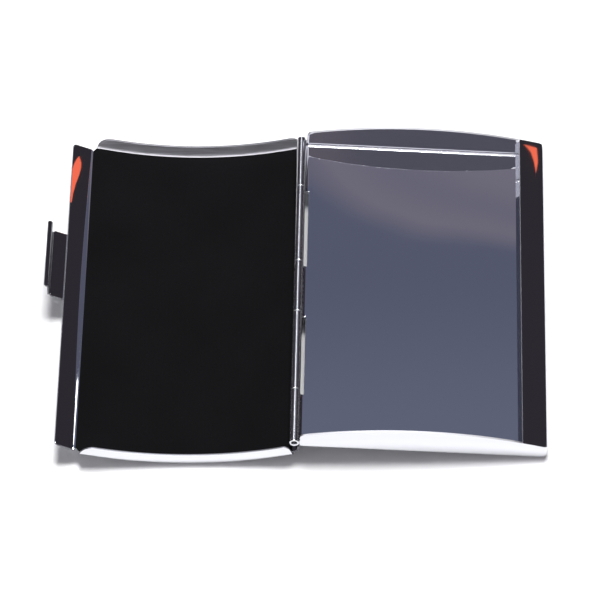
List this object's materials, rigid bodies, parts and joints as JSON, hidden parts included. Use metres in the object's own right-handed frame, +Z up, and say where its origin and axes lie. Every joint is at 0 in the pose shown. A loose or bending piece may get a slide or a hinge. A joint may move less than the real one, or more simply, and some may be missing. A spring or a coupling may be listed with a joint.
{
  "type": "hinged metal pocket case",
  "caption": "Slim polished metal pocket case lying open: a tray with arched end walls and a bowed lid with a black lining, a five-tube hinge and a thumb clasp.",
  "frame": {"origin": "centre of the open case's footprint box, on the table it lies on", "axes": "+X from the lid across the hinge to the tray, +Y along the hinge towards the back, +Z up"},
  "size_m": [0.1228, 0.0948, 0.0129],
  "materials": {
    "tray_metal": "mirror polished",
    "lid_metal": "mirror polished",
    "hinge_metal": "polished",
    "pin_steel": "drawn wire, dull",
    "lining": "matt black flock"
  },
  "bodies": {
    "tray": {"tray_shell": "tray_metal", "tray_tube_back": "hinge_metal", "tray_tube_middle": "hinge_metal", "tray_tube_front": "hinge_metal", "hinge_pin": "pin_steel"},
    "lid": {"lid_shell": "lid_metal", "lid_tube_back": "hinge_metal", "lid_tube_front": "hinge_metal", "lid_lining": "lining"},
    "clasp": {"thumb_clasp": "lid_metal"}
  },
  "joints": [
    {"name": "lid_hinge", "type": "hinge", "parent": "tray", "child": "lid", "pos_m": [0.00072, 0, 0.00752], "axis": [0, 1, 0], "range_deg": [0, 181.3]},
    {"name": "clasp_flex", "type": "hinge", "parent": "lid", "child": "clasp", "pos_m": [-0.05395, 0, 0.00527], "axis": [0, 1, 0], "range_deg": [-6, 0], "stiffness_Nm_per_rad": 0.2}
  ]
}
